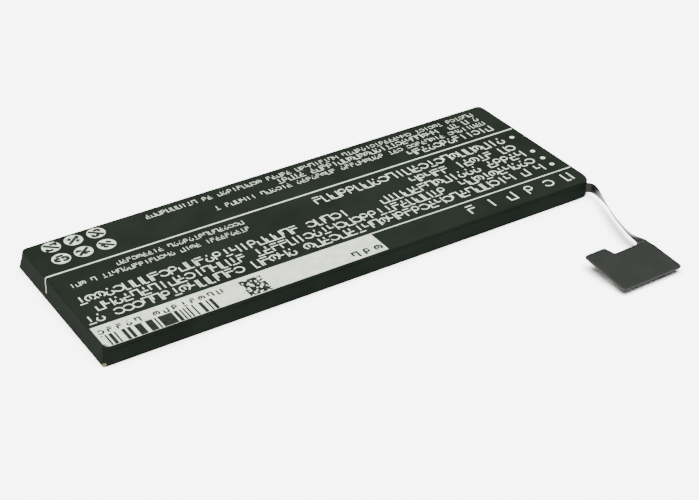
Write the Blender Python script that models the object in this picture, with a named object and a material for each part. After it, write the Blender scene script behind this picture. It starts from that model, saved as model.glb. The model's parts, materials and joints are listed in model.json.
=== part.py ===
"""A thin rechargeable pouch cell pack with a twisted flexible tail and an L-shaped connector paddle.

Frame: +X runs along the pack to the end that holds the protection board, -Y is the side the tail leaves on,
+Z is up, and the origin is the centre of the pack's underside. Sizes are millimetres; MM makes them metres.
"""

import math

import bpy
import numpy as np
from mathutils import Matrix, Vector

MM = 0.001

# Pack, over its label. The left end slopes, and the other sides lean in a little.
PACK_LENGTH = 91.5
PACK_WIDTH = 33.0
PACK_THICKNESS = 3.14
LEFT_DRAFT = 0.8
RIGHT_DRAFT = 0.05
SIDE_DRAFT = 0.16
CORNER_RADII = (1.0, 1.8, 1.5, 1.1)  # +X+Y, -X+Y, -X-Y, +X-Y
CORNER_STEPS = 5
RIM_RADIUS = 0.32
RIM_STEPS = 3

# Layers of the pack, from the outside in
LABEL = 0.10
LAMINATE = 0.11
GAP = 0.03
CUP_INSET = LABEL + GAP + LAMINATE + GAP
LID_TOP = LABEL + GAP + LAMINATE
FOLD_TOP = 2.35
FOLD_START = -43.9
SEAM_Y = 6.0
SEAM_WIDTH = 0.3

# Cell: the drawn cup ends where the terrace starts
CUP_END = 40.8
CUP_END_DRAFT = 0.5
TERRACE_END = 44.6
TERRACE_HALF_WIDTH = 15.2
FLANGE_LOW = 0.50

# Flat-wound roll: the same four layers again and again
ROLL_START = -44.1
ROLL_END = 40.0
ROLL_CENTRE_Z = 1.645
ROLL_STRAIGHT = 14.45
ROLL_TURNS = 3
ROLL_CORE = 0.10
ROLL_GAP = 0.0175
ARC_STEPS = 6
SEPARATOR = 0.02
ELECTRODE = 0.11
ROLL_PITCH = 2 * SEPARATOR + 2 * ELECTRODE + 4 * ROLL_GAP

# Tabs and the board that stands over the terrace
TAB_WIDTH = 4.0
TAB = 0.08
TAB_Z = 0.37
TAB_FOLD_X = 44.85
POSITIVE_Y = 6.0
NEGATIVE_Y = -4.0
FOAM = (0.64, 0.94)
BOARD = (0.97, 1.37)
BOARD_X = (41.1, 44.6)
BOARD_Y = (-15.0, 14.0)
FRAME_ROOF = (2.55, 2.97)
FRAME_WALL_X = (45.1, 45.5)
FRAME_INNER_Y = 15.6

# Tail: x, y, z of the ribbon's centre line and its turn in degrees, 0 on edge and 90 flat
RIBBON_WIDTH = 1.87
RIBBON = 0.12
RIBBON_STEPS = 6
RIBBON_BREAK = 0.10
RIBBON_ROUTE = (
    (41.60, -15.35, 1.46, 0),
    (43.60, -15.38, 1.46, 0),
    (45.05, -16.05, 1.47, 0),
    (45.67, -17.00, 1.49, 0),
    (45.32, -19.00, 1.56, 9),
    (44.07, -22.50, 1.66, 27),
    (42.38, -27.00, 1.75, 41),
    (41.14, -31.50, 1.88, 54),
    (40.93, -35.10, 2.02, 90),
)
SWING_POINT = 3
TWIST_POINT = 6
TILT_POINT = 8

# Paddle: its own frame has its origin at the outer left corner, on the upper face
PADDLE_CORNER = (30.75, -43.7, 1.0)
PADDLE_TILT = 7.1
PADDLE_YAW = 1.6
PADDLE_WIDTH = 11.7
PADDLE_DEPTH = 10.0
PADDLE_SHOULDER = 6.35
NOTCH_DEPTH = 1.9
LUG_WIDTH = 4.05
PADDLE_CORNER_RADIUS = 0.8
PADDLE_FLEX = 0.12
STIFFENER = (0.14, 0.39)

# Connector under the paddle, in the paddle's frame, measured down from its upper face
CONNECTOR_CENTRE = (5.4, 4.6)
CONNECTOR_TOP = 0.41
CONNECTOR_LENGTH = 8.4
CONNECTOR_WIDTH = 2.8
CONNECTOR_HEIGHT = 0.98
CONNECTOR_WALL = 0.45
CONNECTOR_FLOOR = 0.25
CONTACT_WIDTH = 0.5
CONTACT_PITCH = 1.6
CONTACT = 0.08
CONTACT_SLOT = 0.12
CLIP_WIDTH = 1.8
SEAT_GAP = 0.02

SHARP_ANGLE = 35


def clear_scene():
    for old in list(bpy.data.objects):
        bpy.data.objects.remove(old)


def material(name, colour, roughness, metallic=0.0):
    made = bpy.data.materials.new(name)
    made.use_nodes = True
    shader = made.node_tree.nodes["Principled BSDF"]
    shader.inputs["Base Color"].default_value = (*colour, 1.0)
    shader.inputs["Roughness"].default_value = roughness
    shader.inputs["Metallic"].default_value = metallic
    return made


def make_materials():
    return {
        "label": material("label_film", (0.030, 0.036, 0.031), 0.55),
        "laminate": material("aluminium_laminate", (0.62, 0.63, 0.64), 0.35, 0.9),
        "cathode": material("cathode_coating", (0.05, 0.05, 0.055), 0.8),
        "anode": material("graphite_coating", (0.10, 0.10, 0.11), 0.75),
        "separator": material("separator_film", (0.85, 0.85, 0.83), 0.6),
        "tape": material("insulating_tape", (0.72, 0.45, 0.10), 0.4),
        "aluminium": material("tab_aluminium", (0.80, 0.81, 0.82), 0.35, 1.0),
        "nickel": material("tab_nickel", (0.66, 0.63, 0.58), 0.35, 1.0),
        "seal": material("tab_sealant", (0.75, 0.78, 0.70), 0.5),
        "foam": material("foam", (0.06, 0.06, 0.06), 0.95),
        "board": material("board_laminate", (0.02, 0.16, 0.07), 0.45),
        "chip": material("chip_moulding", (0.03, 0.03, 0.03), 0.5),
        "ceramic": material("component_ceramic", (0.55, 0.45, 0.33), 0.5),
        "frame": material("frame_plastic", (0.04, 0.04, 0.04), 0.5),
        "flex": material("flex_cover", (0.045, 0.047, 0.043), 0.38),
        "stiffener": material("stiffener_sheet", (0.02, 0.02, 0.02), 0.5),
        "housing": material("connector_plastic", (0.05, 0.05, 0.05), 0.45),
        "gold": material("contact_gold", (0.83, 0.65, 0.30), 0.25, 1.0),
    }


def solid(name, points, faces, look, frame=None, parent=None):
    """One closed mesh from points in millimetres, turned and moved by frame, riding on parent."""
    placed = [(frame @ Vector(p) if frame else Vector(p)) * MM for p in points]
    mesh = bpy.data.meshes.new(name)
    mesh.from_pydata(placed, [], faces)
    mesh.materials.append(look)
    mesh.shade_smooth()
    mesh.set_sharp_from_angle(angle=math.radians(SHARP_ANGLE))
    obj = bpy.data.objects.new(name, mesh)
    bpy.context.scene.collection.objects.link(obj)
    if parent:
        obj.parent = parent
        obj.matrix_parent_inverse = parent.matrix_world.inverted()
    return obj


def stack(rings):
    """Points and faces of a closed solid through rings of equal length, each seen anticlockwise from its end."""
    count = len(rings[0])
    points = [point for ring in rings for point in ring]
    faces = [tuple(reversed(range(count)))]
    for level in range(len(rings) - 1):
        for side in range(count):
            near = level * count + side
            far = level * count + (side + 1) % count
            faces.append((near, far, far + count, near + count))
    faces.append(tuple(range(len(points) - count, len(points))))
    return points, faces


def box(name, x, y, z, look, frame=None, parent=None):
    rings = [[(x[0], y[0], h), (x[1], y[0], h), (x[1], y[1], h), (x[0], y[1], h)] for h in z]
    return solid(name, *stack(rings), look, frame, parent)


def arc(centre, radius, start, end, steps):
    """Points on an arc in the plane, between two angles in degrees."""
    angles = np.radians(np.linspace(start, end, steps + 1))
    return [(centre[0] + radius * math.cos(a), centre[1] + radius * math.sin(a)) for a in angles]


def rounded_ring(x, y, radii, z):
    """A rectangle with its own radius at each corner, as a ring of points at the height z."""
    corners = ((x[1], y[1], 1, 1), (x[0], y[1], -1, 1), (x[0], y[0], -1, -1), (x[1], y[0], 1, -1))
    ring = []
    for quarter, ((cx, cy, sx, sy), radius) in enumerate(zip(corners, radii)):
        centre = (cx - sx * radius, cy - sy * radius)
        ring += arc(centre, radius, 90 * quarter, 90 * quarter + 90, CORNER_STEPS)
    return [(px, py, z) for px, py in ring]


def pack_bounds(z, inset):
    """x and y limits of the pack's outer form at the height z, moved in by inset."""
    rise = z / PACK_THICKNESS
    half = PACK_LENGTH / 2
    x = (-half + LEFT_DRAFT * rise + inset, half - RIGHT_DRAFT * rise - inset)
    y = PACK_WIDTH / 2 - SIDE_DRAFT * rise - inset
    return x, (-y, y)


def pack_solid(name, look, inset, z, rim, limit_x=(None, None)):
    """The pack's form moved in by inset, between two heights, with its upper rim rounded.

    limit_x, where given, replaces an end by a function of the height.
    """
    levels = [(z[0], 0.0)]
    for angle in np.linspace(0, math.pi / 2, RIM_STEPS + 1):
        levels.append((z[1] - rim + rim * math.sin(angle), rim - rim * math.cos(angle)))
    rings = []
    for height, rounding in levels:
        x, y = pack_bounds(height, inset + rounding)
        x = tuple(own(height) - (1 if end else -1) * rounding if own else x[end] for end, own in enumerate(limit_x))
        radii = [max(radius - inset, 0.15) for radius in CORNER_RADII]
        rings.append(rounded_ring(x, y, radii, height))
    return solid(name, *stack(rings), look)


def hide(helper):
    helper.hide_render = True
    helper.display_type = "WIRE"


def cut(obj, cutter, operation="DIFFERENCE"):
    change = obj.modifiers.new(cutter.name, "BOOLEAN")
    change.operation = operation
    change.solver = "EXACT"
    change.object = cutter
    hide(cutter)


def offset_path(path, distance):
    """A polyline in the plane moved to its left by distance, with mitred corners."""
    moved = []
    steps = [(Vector(b) - Vector(a)).normalized() for a, b in zip(path, path[1:])]
    for i, point in enumerate(path):
        before = steps[max(i - 1, 0)]
        after = steps[min(i, len(steps) - 1)]
        middle = (before + after).normalized()
        reach = distance / max(middle.dot(after), 0.3)
        moved.append((point[0] - middle.y * reach, point[1] + middle.x * reach))
    return moved


def band(name, first, second, span, axes, look, frame=None, parent=None):
    """A strip between two polylines of equal length, extruded over span.

    axes gives the places of the polylines' two coordinates and of the span, so "yzx" runs along X.
    The first polyline lies to the right of the second, seen along the strip.
    """
    order = [axes.index(letter) for letter in "xyz"]
    turned = axes in ("xzy", "yxz", "zyx")
    rings = []
    for right, left in zip(first, second):
        corners = [(*right, span[0]), (*right, span[1]), (*left, span[1]), (*left, span[0])]
        ring = [tuple(corner[i] for i in order) for corner in corners]
        rings.append(ring if turned else ring[::-1])
    return solid(name, *stack(rings), look, frame, parent)


def strip(name, path, thickness, span, axes, look, frame=None, parent=None):
    right = offset_path(path, -thickness / 2)
    left = offset_path(path, thickness / 2)
    return band(name, right, left, span, axes, look, frame, parent)


def make_label(look):
    wrap = pack_solid("label_wrap", look["label"], 0.0, (0.0, PACK_THICKNESS), RIM_RADIUS)
    hollow = pack_solid(
        "label_hollow", look["label"], LABEL, (LABEL, PACK_THICKNESS - LABEL), RIM_RADIUS - LABEL
    )
    cut(wrap, hollow)
    seam = (SEAM_Y - SEAM_WIDTH / 2, SEAM_Y + SEAM_WIDTH / 2)
    cut(wrap, box("label_seam", (-44, 44), seam, (-0.5, LABEL + 0.01), look["label"]))
    cut(wrap, tail_exit("label_exit", 0.95, look["label"]))


def tail_exit(name, width, look):
    """A slot for the ribbon, set across the pack's tail corner."""
    x, y = RIBBON_ROUTE[2][:2]
    turn = Matrix.Translation((x, y, 0)) @ Matrix.Rotation(math.radians(-52), 4, "Z")
    return box(name, (-1.6, 2.4), (-width / 2, width / 2), (0.42, 2.52), look, turn)


def make_pouch(look):
    def end(height, inset=0.0):
        return CUP_END - CUP_END_DRAFT * height / PACK_THICKNESS - inset

    top = PACK_THICKNESS - LABEL - GAP
    low = LID_TOP + GAP
    cup = pack_solid("pouch_cup", look["laminate"], CUP_INSET, (low, top), 0.3, (None, end))
    flange_y = (-TERRACE_HALF_WIDTH, TERRACE_HALF_WIDTH)
    flange_z = (FLANGE_LOW, FLANGE_LOW + LAMINATE)
    flange = box("cup_flange", (CUP_END - 0.6, TERRACE_END), flange_y, flange_z, look["laminate"])
    cut(cup, flange, "UNION")
    inset = CUP_INSET + LAMINATE
    inner = (None, lambda height: end(height, LAMINATE))
    cut(cup, pack_solid("cup_hollow", look["laminate"], inset, (low - 1, top - LAMINATE), 0.2, inner))
    cut(cup, box("cup_mouth", (CUP_END - 0.9, 60), (-17, 17), (-1, FLANGE_LOW), look["laminate"]))

    bottom = (LABEL + GAP, LID_TOP)
    lid_x, lid_y = pack_bounds(LID_TOP, LABEL + GAP)
    corners = [radius - LABEL for radius in CORNER_RADII]
    plate = [rounded_ring((lid_x[0], TERRACE_END), (lid_y[0] + 0.1, lid_y[1] - 0.1), corners, z) for z in bottom]
    lid = solid("pouch_lid", *stack(plate), look["laminate"])
    for side in (-1, 1):
        foot = pack_bounds(bottom[0], LABEL + GAP)[1][1] * side
        crest = pack_bounds(FOLD_TOP, LABEL + GAP)[1][1] * side
        inward = -side * LAMINATE
        outline = ((foot, bottom[0]), (crest, FOLD_TOP), (crest + inward, FOLD_TOP), (foot + inward, bottom[0]))
        rings = [[(x, py, pz) for py, pz in outline[::side]] for x in (CUP_END - 0.2, FOLD_START)]
        fold = solid(f"side_fold_{'front' if side < 0 else 'back'}", *stack(rings), look["laminate"])
        cut(lid, fold, "UNION")


def wound_path(radius):
    """Points of a flattened spiral in the plane across the roll, growing by one pitch a turn."""
    path = []
    for half_turn in range(2 * ROLL_TURNS + 1):
        centre = ROLL_STRAIGHT if half_turn % 2 == 0 else -ROLL_STRAIGHT
        first = 0 if half_turn == 0 else -90
        last = 0 if half_turn == 2 * ROLL_TURNS else 90
        steps = ARC_STEPS if last - first == 180 else ARC_STEPS // 2
        for angle in np.linspace(first, last, steps + 1):
            turned = math.radians(180 * half_turn + angle)
            reach = radius + ROLL_PITCH * turned / (2 * math.pi)
            path.append((centre + reach * math.cos(turned), ROLL_CENTRE_Z + reach * math.sin(turned)))
    return path


def make_roll(look):
    layers = (
        ("separator_inner", SEPARATOR, 0.0, "separator"),
        ("anode_foil", ELECTRODE, 0.2, "anode"),
        ("separator_outer", SEPARATOR, 0.0, "separator"),
        ("cathode_foil", ELECTRODE, 0.4, "cathode"),
    )
    radius = ROLL_CORE
    for name, thickness, short, kind in layers:
        span = (ROLL_START + short, ROLL_END - short)
        inner = wound_path(radius)
        outer = wound_path(radius + thickness)
        band(name, outer, inner, span, "yzx", look[kind])
        radius += thickness + ROLL_GAP
    box("roll_tape", (-40, 36), (5, 13.5), (2.83, 2.86), look["tape"])


def make_tab(sign, y, metal, look):
    """A tab that leaves the roll, crosses the terrace and folds back on to the board's weld pad."""
    y_span = (y - TAB_WIDTH / 2, y + TAB_WIDTH / 2)
    pad_top = BOARD[1] + 0.02 + 0.10
    rest = pad_top + 0.02 + TAB / 2
    middle = (TAB_Z + rest) / 2
    radius = (rest - TAB_Z) / 2
    fold = arc((TAB_FOLD_X - radius, middle), radius, -90, 90, 8)
    path = [(ROLL_END + 0.15, TAB_Z), *fold, (42.5, rest)]
    strip(f"{sign}_tab", path, TAB, y_span, "xzy", look[metal])
    pad_z = (BOARD[1] + 0.02, pad_top)
    box(f"{sign}_weld_pad", (42.2, 44.1), (y - 1.8, y + 1.8), pad_z, look["nickel"])
    film_z = (LID_TOP + 0.02, FLANGE_LOW - 0.02)
    film = box(f"{sign}_tab_film", (41.3, 44.0), (y - 3.4, y + 3.4), film_z, look["seal"])
    slot_z = (TAB_Z - TAB / 2 - 0.015, TAB_Z + TAB / 2 + 0.015)
    slot_y = (y_span[0] - 0.03, y_span[1] + 0.03)
    cut(film, box(f"{sign}_film_slot", (40, 46), slot_y, slot_z, look["seal"]))


def make_board(look):
    """The protection board over the terrace, with its parts in a row between and beside the weld pads."""
    box("board_foam", (41.2, 44.1), (-13.5, 13.5), FOAM, look["foam"])
    box("protection_board", BOARD_X, BOARD_Y, BOARD, look["board"])
    parts = (
        ("thermistor", (42.8, -13.3), (1.0, 0.5, 0.5), "ceramic"),
        ("switch_transistors", (42.8, -10.3), (2.2, 3.2, 0.8), "chip"),
        ("filter_capacitor_2", (42.8, -7.6), (1.0, 0.5, 0.5), "ceramic"),
        ("filter_resistor", (42.8, -0.9), (1.0, 0.5, 0.35), "chip"),
        ("protection_chip", (42.8, 0.9), (1.8, 1.8, 0.6), "chip"),
        ("filter_capacitor_1", (42.8, 2.8), (1.0, 0.5, 0.5), "ceramic"),
        ("thermal_fuse", (42.8, 10.2), (1.6, 2.6, 0.7), "frame"),
        ("sense_resistor", (42.8, 12.9), (1.6, 0.8, 0.45), "chip"),
    )
    for name, (x, y), (long, wide, high), kind in parts:
        low = BOARD[1] + 0.02
        box(name, (x - long / 2, x + long / 2), (y - wide / 2, y + wide / 2), (low, low + high), look[kind])
    cover = ((41.05, 1.6), (41.05, 2.45), (45.0, 2.45), (45.0, 0.7))
    strip("board_tape", cover, 0.05, (-14.4, 14.4), "xzy", look["tape"])


def make_end_frame(look):
    """A moulded channel over the board: it gives the label its square corners at the tail end."""
    near = (lambda height: CUP_END + 0.15, None)
    z = (LID_TOP + GAP, FRAME_ROOF[1])
    frame = pack_solid("end_frame", look["frame"], LABEL + GAP + 0.02, z, 0.25, near)
    inner_y = (-FRAME_INNER_Y, FRAME_INNER_Y)
    cut(frame, box("frame_hollow", (40, FRAME_WALL_X[0]), inner_y, (-1, FRAME_ROOF[0]), look["frame"]))
    cut(frame, tail_exit("frame_exit", 0.8, look["frame"]))


def smooth_route(knots, steps):
    """A Catmull-Rom curve through the knots, with this many steps between each two."""
    knots = np.array(knots, float)
    padded = np.vstack([2 * knots[0] - knots[1], knots, 2 * knots[-1] - knots[-2]])
    curve = []
    for i in range(len(knots) - 1):
        p0, p1, p2, p3 = padded[i : i + 4]
        for t in np.arange(steps) / steps:
            bend = (2 * p0 - 5 * p1 + 4 * p2 - p3) * t**2 + (3 * p1 - p0 - 3 * p2 + p3) * t**3
            curve.append(0.5 * (2 * p1 + (p2 - p0) * t + bend))
    return np.array(curve + [knots[-1]])


def ribbon(name, curve, start, end, look, parent=None):
    """The stretch of the ribbon between two of the curve's samples, as a thin twisted bar."""
    tangents = np.gradient(curve[:, :3], axis=0)
    rings = []
    for i in range(start, end + 1):
        centre = Vector(curve[i, :3])
        along = Vector(tangents[i]).normalized()
        if i == start and start > 0:
            centre += along * RIBBON_BREAK
        if i == end and end < len(curve) - 1:
            centre -= along * RIBBON_BREAK
        aside = along.cross(Vector((0, 0, 1))).normalized()
        turn = math.radians(curve[i, 3])
        across = aside.cross(along) * math.cos(turn) + aside * math.sin(turn)
        through = across.cross(along).normalized()
        half = (across * RIBBON_WIDTH / 2, through * RIBBON / 2)
        rings.append(
            [centre - half[0] - half[1], centre - half[0] + half[1], centre + half[0] + half[1], centre + half[0] - half[1]]
        )
    return solid(name, *stack(rings), look, None, parent)


def joint_axis(name, place):
    """An empty on a joint's axis, for the pieces that turn about it."""
    axis = bpy.data.objects.new(name, None)
    axis.location = Vector(place[:3]) * MM
    bpy.context.scene.collection.objects.link(axis)
    bpy.context.view_layer.update()
    return axis


def make_tail(look):
    curve = smooth_route(RIBBON_ROUTE, RIBBON_STEPS)
    swing = joint_axis("tail_swing_axis", RIBBON_ROUTE[SWING_POINT])
    twist = joint_axis("neck_twist_axis", RIBBON_ROUTE[TWIST_POINT])
    marks = [point * RIBBON_STEPS for point in (0, SWING_POINT, TWIST_POINT, TILT_POINT)]
    ribbon("root_flex", curve, marks[0], marks[1], look["flex"])
    ribbon("neck_root_flex", curve, marks[1], marks[2], look["flex"], swing)
    ribbon("neck_end_flex", curve, marks[2], marks[3], look["flex"], twist)


def paddle_frame():
    turn = Matrix.Rotation(math.radians(PADDLE_YAW), 4, "Z") @ Matrix.Rotation(math.radians(PADDLE_TILT), 4, "X")
    return Matrix.Translation(PADDLE_CORNER) @ turn


def paddle_outline(inset, neck):
    """The L-shaped outline, moved in by inset; neck gives the stub's x limits and end, or None for no stub."""
    radius = PADDLE_CORNER_RADIUS
    low, right, top = inset, PADDLE_WIDTH - inset, PADDLE_DEPTH - inset
    step = PADDLE_DEPTH - NOTCH_DEPTH - inset
    lug = LUG_WIDTH - inset
    outline = arc((low + radius, low + radius), radius, 180, 270, 4)
    outline += arc((right - radius, low + radius), radius, 270, 360, 4)
    outline.append((right, PADDLE_SHOULDER))
    if neck:
        (stub_low, stub_high), end = neck
        outline += [(stub_high, end - 0.5), (stub_high, end), (stub_low, end), (stub_low, step + 0.5)]
        outline += arc((stub_low - 0.5, step + 0.5), 0.5, 0, -90, 3)[1:]
    else:
        outline += [(right - 0.5, step - 0.6), (right - 1.6, step)]
    outline.append((lug + 0.3, step))
    outline += arc((lug - 0.5, top - 0.5), 0.5, 0, 90, 3)
    outline += arc((low + radius, top - radius), radius, 90, 180, 4)
    return outline


def make_paddle(look):
    frame = paddle_frame()
    tilt = joint_axis("paddle_tilt_axis", RIBBON_ROUTE[TILT_POINT])
    end = frame.inverted() @ Vector(RIBBON_ROUTE[TILT_POINT][:3])
    neck = ((end.x - RIBBON_WIDTH / 2, end.x + RIBBON_WIDTH / 2), end.y - RIBBON_BREAK)
    layers = (
        ("paddle_flex", paddle_outline(0.0, neck), (-PADDLE_FLEX, 0.0), "flex"),
        ("paddle_stiffener", paddle_outline(0.05, None), (-STIFFENER[1], -STIFFENER[0]), "stiffener"),
    )
    for name, outline, heights, kind in layers:
        rings = [[(x, y, z) for x, y in outline] for z in heights]
        solid(name, *stack(rings), look[kind], frame, tilt)
    make_connector(look, frame, tilt)


def make_connector(look, frame, parent):
    """A socket that opens downwards, with contacts through its long walls and a clip through each short one.

    Its own frame points down: x along it, y across it and z away from the paddle.
    """
    down = Matrix.Translation((*CONNECTOR_CENTRE, -CONNECTOR_TOP)) @ Matrix.Rotation(math.pi, 4, "X")
    place = frame @ down
    half = (CONNECTOR_LENGTH / 2, CONNECTOR_WIDTH / 2)
    body = [(-half[0], half[0]), (-half[1], half[1])]
    housing = box("connector_housing", *body, (0.0, CONNECTOR_HEIGHT), look["housing"], place, parent)
    inner = [(-side + CONNECTOR_WALL, side - CONNECTOR_WALL) for side in half]
    pocket = box("connector_pocket", *inner, (CONNECTOR_FLOOR, 2.0), look["housing"], place, parent)
    cut(housing, pocket)
    slot_z = (CONNECTOR_HEIGHT - CONTACT_SLOT, 2.0)
    for column in range(3):
        middle = (column - 1) * CONTACT_PITCH
        span = (middle - CONTACT_WIDTH / 2, middle + CONTACT_WIDTH / 2)
        slot_x = (span[0] - SEAT_GAP, span[1] + SEAT_GAP)
        cut(housing, box(f"contact_slot_{column + 1}", slot_x, (-2, 2), slot_z, look["housing"], place, parent))
        for row, side in (("near", 1), ("far", -1)):
            path = hook(half[1], side)
            strip(f"contact_{row}_{column + 1}", path, CONTACT, span, "yzx", look["gold"], place, parent)
    clip = (-CLIP_WIDTH / 2, CLIP_WIDTH / 2)
    slot_y = (clip[0] - SEAT_GAP, clip[1] + SEAT_GAP)
    for end, side in (("left", -1), ("right", 1)):
        slot_x = sorted((side * half[0] - side * 1.0, side * half[0] + side * 1.0))
        cut(housing, box(f"clip_slot_{end}", slot_x, slot_y, slot_z, look["housing"], place, parent))
        strip(f"hold_down_{end}", hook(half[0], side), CONTACT, clip, "xzy", look["nickel"], place, parent)


def hook(reach, side):
    """A foot on the paddle, a leg up a wall's outside, through its slot and down into the socket."""
    out = reach + SEAT_GAP + CONTACT / 2
    into = reach - CONNECTOR_WALL - SEAT_GAP - CONTACT / 2
    over = CONNECTOR_HEIGHT - CONTACT_SLOT + SEAT_GAP + CONTACT / 2
    foot = SEAT_GAP + CONTACT / 2
    return [(side * v, w) for v, w in ((out + 0.4, foot), (out, foot), (out, over), (into, over), (into, 0.4))]


def main():
    clear_scene()
    look = make_materials()
    make_label(look)
    make_pouch(look)
    make_roll(look)
    make_tab("positive", POSITIVE_Y, "aluminium", look)
    make_tab("negative", NEGATIVE_Y, "nickel", look)
    make_board(look)
    make_end_frame(look)
    make_tail(look)
    make_paddle(look)


main()
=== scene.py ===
import json
import math

import bmesh
import bpy
import numpy as np
from mathutils import Matrix, Vector, noise
from mathutils.bvhtree import BVHTree
from mathutils.geometry import delaunay_2d_cdt


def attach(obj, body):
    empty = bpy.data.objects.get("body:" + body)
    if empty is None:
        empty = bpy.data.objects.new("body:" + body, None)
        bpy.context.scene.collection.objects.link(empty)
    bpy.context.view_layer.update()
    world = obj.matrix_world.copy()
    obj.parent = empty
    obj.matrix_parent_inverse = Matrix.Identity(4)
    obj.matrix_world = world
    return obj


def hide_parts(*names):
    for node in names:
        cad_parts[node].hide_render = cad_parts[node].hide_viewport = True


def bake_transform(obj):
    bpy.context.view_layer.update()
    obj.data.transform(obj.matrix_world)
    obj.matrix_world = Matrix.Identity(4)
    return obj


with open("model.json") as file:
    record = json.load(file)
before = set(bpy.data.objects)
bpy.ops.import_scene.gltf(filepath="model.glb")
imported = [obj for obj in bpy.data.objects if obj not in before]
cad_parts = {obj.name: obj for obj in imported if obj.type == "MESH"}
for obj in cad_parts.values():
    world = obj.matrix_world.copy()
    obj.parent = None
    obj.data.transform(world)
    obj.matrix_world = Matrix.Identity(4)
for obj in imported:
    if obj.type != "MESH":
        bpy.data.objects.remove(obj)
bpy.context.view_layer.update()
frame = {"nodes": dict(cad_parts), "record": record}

# A thin rechargeable pouch cell pack: a printed film wrap, a twisted flexible tail and a connector paddle.
# +X runs along the pack to its tail end, -Y is the side the tail leaves on, +Z is up.
# Lengths are millimetres until MM makes them metres.
MM = 0.001

# Camera
EYE = Vector((-0.11581, -0.20307, 0.14401))
AIM = Vector((0.4371, 0.7226, -0.5355)).normalized()
ROLL = math.radians(-1.12)
LENS = 84.76

# Studio: each light's name, place and size in metres, and watts
FLOOR_REACH = 1500
LIGHTS = (
    ("left_softbox", (-0.75, -0.05, 0.60), (0.7, 0.9), 3),
    ("overhead_softbox", (0.05, -0.05, 1.0), (1.2, 1.2), 105),
)

# Pack, over its film
LENGTH = 91.5
WIDTH = 33.0
THICKNESS = 3.14
LEFT_DRAFT = 0.8
RIGHT_DRAFT = 0.05
SIDE_DRAFT = 0.16
CORNERS_TOP = (1.0, 1.1, 1.4, 1.1)  # plan radii at +X+Y, -X+Y, -X-Y, +X-Y
CORNERS_FOOT = (0.8, 0.6, 0.45, 1.5)
CORNER_STEPS = 14
SIDE_STEPS = (150, 54, 150, 54)
FILM_TOP = 3.110
FILM = 0.05
RIM = 0.22
RIM_STEPS = 7
FOOT = 0.14
FOOT_STEPS = 4
WALL_LEVELS = (0.42, 0.68, 0.95, 1.22, 1.5, 1.75, 1.95, 2.1, 2.2)
WALL_LEVELS += (2.26, 2.31, 2.35, 2.39, 2.43, 2.48, 2.54, 2.61, 2.69)
FOLD_Z = 2.37
FOLD_X = (-43.9, 40.4)
LAP_Y = 6.0
CAP_SPACING = 0.9
TAIL_CORNER = Vector((45.75, -16.5))
EXIT = (45.05, -16.05)
EXIT_TURN = -52
EXIT_Z = (0.42, 2.52)
EXIT_WIDTH = 0.80
EXIT_REACH = (-1.2, 2.0)
WORN_SPOT = (-45.55, -16.35, 0.15)

# Print, on top of the film
PRINT_UP = 0.008
PRINT_DOWN = 0.012
STRIP_LIFT = 0.006
BLACK_LIFT = 0.012
RULES = (
    [(45.2, -10.92), (4.4, -10.55), (4.4, -10.80), (45.2, -11.17)],
    [(45.2, 5.95), (-44.8, 6.45), (-44.8, 6.13), (45.2, 5.63)],
)
END_RULE_HALF_WIDTH = 0.16

# Tail: x, y, z of the ribbon's centre line and its turn in degrees, 0 on edge and 90 flat
RIBBON_WIDTH = 1.87
RIBBON = 0.12
RIBBON_STEPS = 16
FLARE_RINGS = 8
RIBBON_CUTS = (4.5, 7.2)  # places along ROUTE, counted in knots, as are the bends
RIBBON_BENDS = ((2.3, 3.9), (5.0, 6.95), (7.62, None))
ROUTE = (
    (41.60, -15.35, 1.46, 0),
    (43.60, -15.38, 1.46, 0),
    (45.05, -16.05, 1.47, 0),
    (45.67, -17.00, 1.49, 0),
    (45.32, -19.00, 1.56, 9),
    (44.07, -22.50, 1.66, 27),
    (42.38, -27.00, 1.75, 41),
    (41.14, -31.50, 1.88, 54),
    (40.93, -35.10, 2.02, 90),
)

# Paddle: its own frame starts at the outer left corner, on the upper face
PADDLE_CORNER = (30.75, -43.7, 1.0)
PADDLE_TILT = 7.1
PADDLE_YAW = 1.6
PADDLE_WIDTH = 11.7
PADDLE_DEPTH = 10.0
PADDLE_STEP = 8.1
PADDLE_SHOULDER = 5.9
SHOULDER_END = 8.6
PADDLE_RADIUS = 0.8
PADDLE_LEFT_EXTRA = 0.4
PADDLE_RIGHT_EXTRA = 0.2
PADDLE_LOW_EDGE = 0.02
STIFFENER_INSET = 0.5
LUG_WIDTH = 4.05
FILLET = 0.55
STIFFENER = (-0.14, -0.39)
SOCKET_CENTRE = (5.4, 4.6)
SOCKET_TOP = 0.41
SOCKET_LENGTH = 8.4
SOCKET_WIDTH = 2.8
SOCKET_HEIGHT = 0.98
SOCKET_WALL = 0.45
CONTACT = 0.08
CONTACT_WIDTH = 0.5
CONTACT_PITCH = 1.6
CONTACT_SLOT = 0.12
CLIP_WIDTH = 1.8
SEAT_GAP = 0.02


# ---------------------------------------------------------------- small tools


def hex_colour(code):
    """A six-digit sRGB colour as the linear numbers a shader takes."""
    parts = [int(code[i : i + 2], 16) / 255 for i in (0, 2, 4)]
    return (*[part / 12.92 if part <= 0.04045 else ((part + 0.055) / 1.055) ** 2.4 for part in parts], 1.0)


def add(tree, kind, feeds=None, **settings):
    """Adds a node. settings are its properties; feeds gives an input a value, or the socket that feeds it."""
    made = tree.nodes.new(kind)
    for name, value in settings.items():
        setattr(made, name, value)
    for name, value in (feeds or {}).items():
        if isinstance(value, bpy.types.NodeSocket):
            tree.links.new(value, made.inputs[name])
        else:
            made.inputs[name].default_value = value
    return made


def smooth(value, low, high):
    """0 below low, 1 above high, and a soft step between."""
    part = min(max((value - low) / (high - low), 0.0), 1.0)
    return part * part * (3 - 2 * part)


def hump(value, middle, width):
    """1 at middle, falling off softly to both sides."""
    return math.exp(-(((value - middle) / width) ** 2))


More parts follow.
